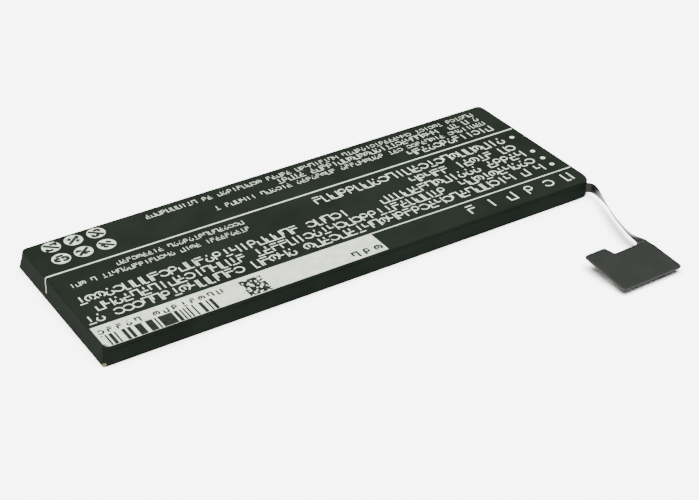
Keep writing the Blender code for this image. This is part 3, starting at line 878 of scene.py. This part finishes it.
# Rows of small marks, each with its first x, last x, middle y and height
ROWS = (
    (41.3, -43.2, -8.5, 2.45),
    (41.3, -42.0, -5.75, 2.4),
    (41.3, -42.2, -2.9, 2.45),
    (41.3, 21.0, -0.1, 2.4),
    (41.3, 2.0, 3.05, 2.5),
    (42.2, 25.7, 8.0, 2.1),
    (42.2, 1.2, 12.25, 1.7),
)
FINE_ROWS = (
    (-11.0, -42.0, 1.7, 1.3),
    (-11.0, -34.0, 3.9, 1.3),
    (42.2, -12.0, 10.25, 1.4),
    (42.2, -23.0, 14.1, 1.35),
)
HEADING = (43.4, 23.6, -13.6, 2.75)
BULLETS = ((43.25, -8.5), (43.25, -5.9), (43.25, -3.0), (43.25, 3.1))
DISCS = [(x, y) for x in (-32.7, -36.7, -40.6) for y in (10.1, 14.2)]
DIGITS = (-23.5, -43.5, -12.2, 1.4)
TAG = (4.0, -0.2, -14.9, 1.8)

# Square patch of cells and row of bars, both set out on a pitch
PITCH = 0.3
PATCH = [(-16.6 - PITCH * i, -15.8 + PITCH * j) for i in range(13) for j in range(15)]
BARS = [(-25.6 - PITCH * i, -14.55) for i in range(63)]

# Strokes of the six round signs, in parts of a sign's width
SLASH = [(-0.34, 0.30), (0.34, -0.30)]
RISE = [(-0.34, -0.30), (0.34, 0.30)]
SIGNS = (
    [SLASH, [(0.0, 0.28), (0.24, 0.16)], [(-0.30, -0.08), (-0.08, -0.26)], [(0.1, 0.02), (0.34, 0.02)]],
    [SLASH, arc((0.12, 0.17), 0.14, -40, 200, 7), arc((-0.12, -0.18), 0.12, 120, 360, 7)],
    [RISE, [(-0.3, 0.14), (-0.02, 0.14), (-0.02, 0.3)], [(0.06, -0.14), (0.3, -0.14), (0.22, -0.28)]],
    [RISE, [(-0.26, 0.06), (-0.1, 0.26)], [(0.1, -0.26), (0.26, -0.06)], [(-0.32, -0.06), (-0.2, -0.16)]],
    [arc((-0.17, 0.1), 0.16, 30, 330, 8), arc((0.2, 0.06), 0.13, 200, 500, 8), [(-0.2, -0.26), (0.2, -0.26)]],
    [SLASH, [(-0.02, 0.3), (0.3, 0.3), (0.3, 0.08)], [(-0.3, -0.04), (-0.3, -0.24), (0.0, -0.24)]],
)


def make_print(film, looks):
    """Generic marks in place of the wording: white on the film, and black on the strip and the discs."""
    ink, black = looks["ink"], looks["black_ink"]
    marks = marks_tree()
    rows = rows_tree(marks)
    stamps = {
        "lettering": text_marks(ink, 0.10),
        "dots": [make_mark("dot", [[(0, 0)]], 0.5, ink)],
        "cells": [make_mark("cell", [[(-0.5, 0), (0.5, 0)]], 1.0, black)],
        "figures": text_marks(black, 0.22),
    }
    for number, paths in enumerate(SIGNS):
        stamps[f"sign_{number}"] = [make_mark(f"sign_{number}", paths, 0.19, black)]
    sets = {name: collection_of(name, objects) for name, objects in stamps.items()}
    white = {"Film": film, "Ink": ink, "Fill": 0.90, "Turn": math.pi, "Seed": 7, "Lift": 0.0, "Spacing": 0.64}
    dark = {**white, "Ink": black, "Lift": BLACK_LIFT * MM}
    made = []

    def lines(name, table, stamp, values, **own):
        points, edges, sizes = [], [], []
        for first, last, middle, tall in table:
            edges.append((len(points), len(points) + 1))
            points += [(first, middle + tall / 2), (last, middle + tall / 2)]
            sizes += [(tall * MM, tall * MM, 1.0)] * 2
        made.append(spread(name, points, edges, sizes, rows, {**values, "Marks": sets[stamp], **own}))

    def places(name, points, wide, tall, stamp, values, **own):
        sizes = [(wide * MM, tall * MM, 1)] * len(points)
        own = {"Fill": 1.0, **own}
        made.append(spread(name, points, [], sizes, marks, {**values, "Marks": sets[stamp], **own}))

    lines("print_rows", ROWS, "lettering", white)
    lines("print_fine_rows", FINE_ROWS, "lettering", white, Seed=21, Spacing=0.70)
    lines("print_heading", (HEADING,), "lettering", white, Fill=1.0, Seed=4, Spacing=1.22)
    places("print_bullets", BULLETS, 0.9, 0.9, "dots", white)
    places("print_discs", DISCS, 3.15, 3.15, "dots", white)
    for number, disc in enumerate(DISCS):
        places(f"print_sign_{number + 1}", [disc], 3.1, 3.1, f"sign_{number}", dark)
    places("print_patch", PATCH, PITCH, PITCH, "cells", dark, Fill=0.74)
    places("print_bars", BARS, PITCH + 0.001, 3.0, "cells", dark, Fill=0.66, Seed=3)
    lines("print_digits", (DIGITS,), "figures", dark, Fill=0.9, Seed=12, Spacing=1.05)
    lines("print_tag", (TAG,), "figures", dark, Fill=1.0, Seed=5, Spacing=0.8)
    for name, objects in stamps.items():
        bpy.data.collections.remove(sets[name])
        for obj in objects:
            bpy.data.objects.remove(obj)
    return made


# ---------------------------------------------------------------- tail and paddle


def smooth_route(knots, steps):
    """A Catmull-Rom curve through the knots, with this many steps between each two."""
    knots = np.array(knots, float)
    padded = np.vstack([2 * knots[0] - knots[1], knots, 2 * knots[-1] - knots[-2]])
    curve = []
    for i in range(len(knots) - 1):
        p0, p1, p2, p3 = padded[i : i + 4]
        for t in np.arange(steps) / steps:
            bend = (2 * p0 - 5 * p1 + 4 * p2 - p3) * t**2 + (3 * p1 - p0 - 3 * p2 + p3) * t**3
            curve.append(0.5 * (2 * p1 + (p2 - p0) * t + bend))
    return np.array(curve + [knots[-1]])


def ribbon_section():
    """Round the ribbon's cross-section: two broad copper tracks stand a little proud under the coverlay."""
    edge, half = RIBBON_WIDTH / 2, RIBBON / 2
    upper = [
        (edge, 0.0),
        (edge - 0.025, half - 0.022),
        (edge - 0.14, half - 0.014),
        (edge - 0.20, half),
        (0.12, half),
        (0.06, half - 0.013),
    ]
    upper += [(-u, v) for u, v in reversed(upper)]
    return upper + [(-u, -v) for u, v in upper[1:-1]]


def ribbon_rings(curve):
    tangents = np.gradient(curve[:, :3], axis=0)
    rings = []
    for spot, tangent in zip(curve, tangents):
        centre = Vector(spot[:3])
        along = Vector(tangent).normalized()
        aside = along.cross(Vector((0, 0, 1))).normalized()
        turn = math.radians(spot[3])
        across = aside.cross(along) * math.cos(turn) + aside * math.sin(turn)
        through = across.cross(along).normalized()
        rings.append([centre + across * u + through * v for u, v in ribbon_section()])
    return rings


def paddle_frame():
    yaw = Matrix.Rotation(math.radians(PADDLE_YAW), 4, "Z")
    tilt = Matrix.Rotation(math.radians(PADDLE_TILT), 4, "X")
    return Matrix.Translation(PADDLE_CORNER) @ (yaw @ tilt)


def neck_sides(y, middle):
    """The low and high x of the neck where it widens into the paddle."""
    low = middle - RIBBON_WIDTH / 2
    high = middle + RIBBON_WIDTH / 2
    rise = min(max(PADDLE_STEP + FILLET - y, 0.0), FILLET)
    low = low - FILLET + math.sqrt(FILLET**2 - rise**2)
    high += (PADDLE_WIDTH - high) * (1 - smooth(y, PADDLE_SHOULDER, SHOULDER_END))
    return low, high


def centre_of(ring):
    return sum(ring, Vector()) / len(ring)


def neck_flare(first_ring, place, middle):
    """Rings from the ribbon's end to the paddle's inner edge, widening with the fillet."""
    rings = []
    end = place.inverted() @ centre_of(first_ring)
    for step in range(1, 7):
        part = step / 6
        y = end.y + (PADDLE_STEP - end.y) * part
        low, high = neck_sides(y, middle)
        height = end.z + (-RIBBON / 2 - end.z) * smooth(part, 0, 1)
        ring = []
        for u, v in ribbon_section():
            share = 0.5 - u / RIBBON_WIDTH
            ring.append(place @ Vector((low + (high - low) * share, y, height + v)))
        rings.append(ring)
    return rings


def make_end_channel(looks):
    """The moulded channel at the tail end, drawn in at the tail's corner as the film is."""
    channel = softened_copy("end_channel", "end_frame", 0.03, looks["frame_plastic"], "pack")
    for vertex in channel.data.vertices:
        vertex.co = Vector(at_tail_corner(*(vertex.co / MM))) * MM


def make_tail(looks):
    """The ribbon in three pieces, one across each joint, cut where the film follows only one body."""
    place = paddle_frame()
    curve = smooth_route(ROUTE, RIBBON_STEPS)
    rings = ribbon_rings(curve)
    middle = (place.inverted() @ Vector(ROUTE[-1][:3])).x
    # The last stretch widens early enough for the fillet to start above the joint
    for step in range(FLARE_RINGS + 1):
        ring = rings[step - FLARE_RINGS - 1]
        centre = centre_of(ring)
        low, high = neck_sides((place.inverted() @ centre).y, middle)
        for k, (u, v) in enumerate(ribbon_section()):
            wider = ((middle - low) if u > 0 else (high - middle)) / (RIBBON_WIDTH / 2)
            ring[k] = centre + (ring[k] - centre) * (1 + (wider - 1) * step / FLARE_RINGS)
    rings += neck_flare(rings[-1], place, middle)
    cuts = (0, round(RIBBON_CUTS[0] * RIBBON_STEPS), round(RIBBON_CUTS[1] * RIBBON_STEPS), len(rings) - 1)
    names = ("ribbon_root", "ribbon_middle", "ribbon_end")
    replaced = ("root_flex", "neck_root_flex", "neck_end_flex")
    bodies = (("pack", "neck_root"), ("neck_root", "neck_end"), ("neck_end", "paddle"))
    for name, node, pair, bend, first, last in zip(names, replaced, bodies, RIBBON_BENDS, cuts, cuts[1:]):
        ribbon = piece(name, *tube(rings[first : last + 1]), looks["flex"], 70)
        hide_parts(node)
        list(pair)
        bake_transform(ribbon)
    return middle


def paddle_outline(inset, middle):
    """The L-shaped outline, moved in by inset, without the neck."""
    radius = PADDLE_RADIUS
    left, low = inset - PADDLE_LEFT_EXTRA, inset + PADDLE_LOW_EDGE
    right, top = PADDLE_WIDTH + PADDLE_RIGHT_EXTRA - inset, PADDLE_DEPTH - inset
    step, lug = PADDLE_STEP - inset, LUG_WIDTH - inset
    outline = arc((left + radius, low + radius), radius, 180, 270, 8)
    outline += arc((right - radius, low + radius), radius, 270, 360, 8)
    for y in np.linspace(PADDLE_SHOULDER, PADDLE_STEP, 7)[:-1]:
        outline.append((neck_sides(y, middle)[1] - inset, y))
    if inset == 0:
        outline.append((neck_sides(PADDLE_STEP, middle)[1], PADDLE_STEP))
        outline.append((neck_sides(PADDLE_STEP, middle)[0], PADDLE_STEP))
    else:
        outline.append((right - 1.2, step))
    outline += arc((lug + 0.75, step + 0.35), 0.35, 270, 225, 3)
    outline += arc((lug - 0.45, top - 0.5), 0.5, 20, 90, 6)
    outline += arc((left + radius, top - radius), radius, 90, 180, 8)
    return outline


def make_paddle(looks, middle):
    place = paddle_frame()
    outline = dense(paddle_outline(0.0, middle), 0.35)
    neck_low = neck_sides(PADDLE_STEP, middle)[0]
    rim = dense(outline, 0.12)

    def top(x, y):
        edge = edge_distance((x, y), rim)
        near_neck = smooth(x, neck_low - 0.6, neck_low) * smooth(y, PADDLE_STEP - 0.3, PADDLE_STEP)
        drop = 0.035 * (1 - smooth(edge, 0.0, 0.10)) * (1 - near_neck)
        crease = 0.012 * grain(x, y, 2, 2.6) + 0.02 * hump(x + 0.5 * y, 7.4, 0.5) * smooth(8.0 - y, 0.0, 4.0)
        lift = min(crease, 0.0) * smooth(edge, 0.0, 1.0)
        return place @ Vector((x, y, -drop + lift - 0.002))

    def bottom(x, y):
        return place @ Vector((x, y, -RIBBON))

    inner = lattice(outline, 0.45, 0.3)
    inner += [spot for spot in dense(shrunk(outline, 0.1), 0.4) if inside(spot, outline)]
    film = piece("paddle_film", *plate(outline, inner, top, bottom), looks["flex"], 60)
    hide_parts("paddle_flex")
    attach(film, "paddle")

    def stiffener_top(x, y):
        return place @ Vector((x, y, STIFFENER[0]))

    def stiffener_bottom(x, y):
        return place @ Vector((x, y, STIFFENER[1]))

    outline = dense(paddle_outline(STIFFENER_INSET, middle), 0.5)
    shape = plate(outline, [], stiffener_top, stiffener_bottom)
    sheet = piece("stiffener_sheet", *shape, looks["stiffener"])
    soften(sheet, 0.03)
    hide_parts("paddle_stiffener")
    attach(sheet, "paddle")


def shrunk(outline, inset):
    """An anticlockwise outline moved inwards by inset."""
    moved = []
    count = len(outline)
    for i, spot in enumerate(outline):
        before = (Vector(spot) - Vector(outline[i - 1])).normalized()
        after = (Vector(outline[(i + 1) % count]) - Vector(spot)).normalized()
        middle = (before + after).normalized()
        moved.append((spot[0] - middle.y * inset, spot[1] + middle.x * inset))
    return moved


def soften(obj, width):
    """Rounds the object's sharp edges."""
    bevel = obj.modifiers.new("softened", "BEVEL")
    bevel.width = width * MM
    bevel.segments = 2
    bevel.limit_method = "ANGLE"
    bevel.angle_limit = math.radians(35)
    bevel.use_clamp_overlap = True
    settle(obj)
    shade(obj.data, 50)


def softened_copy(name, node, width, look, body):
    """A copy of a CAD node with its loose triangles welded and its edges rounded, which stands for it."""
    mesh = frame["nodes"][node].data.copy()
    shape = bmesh.new()
    shape.from_mesh(mesh)
    bmesh.ops.remove_doubles(shape, verts=shape.verts, dist=1e-7)
    bmesh.ops.dissolve_limit(shape, angle_limit=math.radians(1), verts=shape.verts, edges=shape.edges)
    shape.to_mesh(mesh)
    shape.free()
    mesh.materials.clear()
    mesh.materials.append(look)
    obj = in_scene(name, mesh)
    soften(obj, width)
    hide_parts(node)
    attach(obj, body)
    return obj


def bent(path, radius):
    """A path in the plane with its inner corners rounded."""
    spots = [Vector(spot) for spot in path]
    made = [tuple(spots[0])]
    for before, corner, after in zip(spots, spots[1:], spots[2:]):
        back = (before - corner).normalized()
        on = (after - corner).normalized()
        reach = min(radius, (before - corner).length / 2, (after - corner).length / 2)
        for part in np.linspace(0, 1, 5):
            a = corner + back * reach * (1 - part)
            b = corner + on * reach * part
            made.append(tuple(a.lerp(b, part)))
    made.append(tuple(spots[-1]))
    return made


def hook_path(reach):
    out = reach + SEAT_GAP + CONTACT / 2
    into = reach - SOCKET_WALL - SEAT_GAP - CONTACT / 2
    over = SOCKET_HEIGHT - CONTACT_SLOT + SEAT_GAP + CONTACT / 2
    foot = SEAT_GAP + CONTACT / 2
    return [(out + 0.4, foot), (out, foot), (out, over), (into, over), (into, 0.4)]


def hook_mesh(name, reach, width, look):
    """A stamped strip bent from a foot up the socket's wall, over it and down inside."""
    outline = band_outline(bent(hook_path(reach), 0.1), CONTACT)
    rings = [[(side, y * MM, z * MM) for y, z in outline] for side in (-width / 2 * MM, width / 2 * MM)]
    points, faces = tube(rings)
    mesh = bpy.data.meshes.new(name)
    mesh.from_pydata(points, [], faces)
    mesh.materials.append(look)
    tidy = bmesh.new()
    tidy.from_mesh(mesh)
    bmesh.ops.recalc_face_normals(tidy, faces=tidy.faces)
    tidy.to_mesh(mesh)
    tidy.free()
    return bpy.data.objects.new(name, mesh)


def pins_tree():
    """Sets copies of one pin along a line, and the same line again turned half round."""
    inputs = {"Pin": "Object", "Count": "Int", "Pitch": "Float", "Metal": "Material"}
    tree, given = new_tree("pin_rows", inputs)
    less = add(tree, "ShaderNodeMath", {0: given["Count"], 1: 1.0}, operation="SUBTRACT")
    span = add(tree, "ShaderNodeMath", {0: less.outputs[0], 1: given["Pitch"]}, operation="MULTIPLY")
    back = add(tree, "ShaderNodeMath", {0: span.outputs[0], 1: -0.5}, operation="MULTIPLY")
    first = add(tree, "ShaderNodeCombineXYZ", {"X": back.outputs[0]})
    step = add(tree, "ShaderNodeCombineXYZ", {"X": given["Pitch"]})
    feeds = {"Count": given["Count"], "Start Location": first.outputs[0], "Offset": step.outputs[0]}
    line = add(tree, "GeometryNodeMeshLine", feeds)
    pin = add(tree, "GeometryNodeObjectInfo", {"Object": given["Pin"]})
    feeds = {"Points": line.outputs[0], "Instance": pin.outputs["Geometry"]}
    row = add(tree, "GeometryNodeInstanceOnPoints", feeds)
    other = add(tree, "GeometryNodeTransform", {"Geometry": row.outputs[0], "Rotation": (0, 0, math.pi)})
    both = add(tree, "GeometryNodeJoinGeometry")
    tree.links.new(row.outputs[0], both.inputs[0])
    tree.links.new(other.outputs[0], both.inputs[0])
    real = add(tree, "GeometryNodeRealizeInstances", {0: both.outputs[0]})
    plated = add(tree, "GeometryNodeSetMaterial", {"Geometry": real.outputs[0], "Material": given["Metal"]})
    tree.links.new(plated.outputs[0], add(tree, "NodeGroupOutput").inputs[0])
    return tree


def make_pins(name, nodes, slot, look, tree, reach, width, count, pitch, quarter):
    """Rows of bent strips through the socket's walls, placed in the socket's frame."""
    pin = hook_mesh("pin", reach, width, look)
    mesh = bpy.data.meshes.new(name)
    mesh.from_pydata([(0, 0, 0)], [], [])
    obj = in_scene(name, mesh)
    grow(obj, tree, {"Pin": pin, "Count": count, "Pitch": pitch * MM, "Metal": look})
    bpy.data.objects.remove(pin)
    down = Matrix.Translation((*SOCKET_CENTRE, -SOCKET_TOP)) @ Matrix.Rotation(math.pi, 4, "X")
    place = paddle_frame() @ down
    turn = Matrix.Rotation(math.radians(quarter), 4, "Z")
    obj.data.transform(Matrix.Translation(place.translation * MM) @ place.to_3x3().to_4x4() @ turn)
    shade(obj.data, 40)
    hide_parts(*nodes)
    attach(obj, "paddle")


def make_socket(looks):
    softened_copy("socket_housing", "connector_housing", 0.035, looks["connector"], "paddle")
    tree = pins_tree()
    contacts = [f"contact_{row}_{column}" for row in ("near", "far") for column in (1, 2, 3)]
    clips = ["hold_down_left", "hold_down_right"]
    of_contacts = (SOCKET_WIDTH / 2, CONTACT_WIDTH, 3, CONTACT_PITCH, 0)
    of_clips = (SOCKET_LENGTH / 2, CLIP_WIDTH, 1, 1.0, 90)
    make_pins("socket_contacts", contacts, "gold", looks["gold"], tree, *of_contacts)
    make_pins("socket_clips", clips, "nickel", looks["nickel"], tree, *of_clips)


def main():
    make_camera()
    make_studio()
    looks = make_materials()
    dress_nodes(looks)
    film = make_film(looks)
    printed = make_strip(Skin(film), looks) + make_print(film, looks)
    open_exit(film)
    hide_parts("label_wrap")
    for obj in [film, *printed]:
        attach(obj, "pack")
    make_end_channel(looks)
    middle = make_tail(looks)
    make_paddle(looks, middle)
    make_socket(looks)


main()
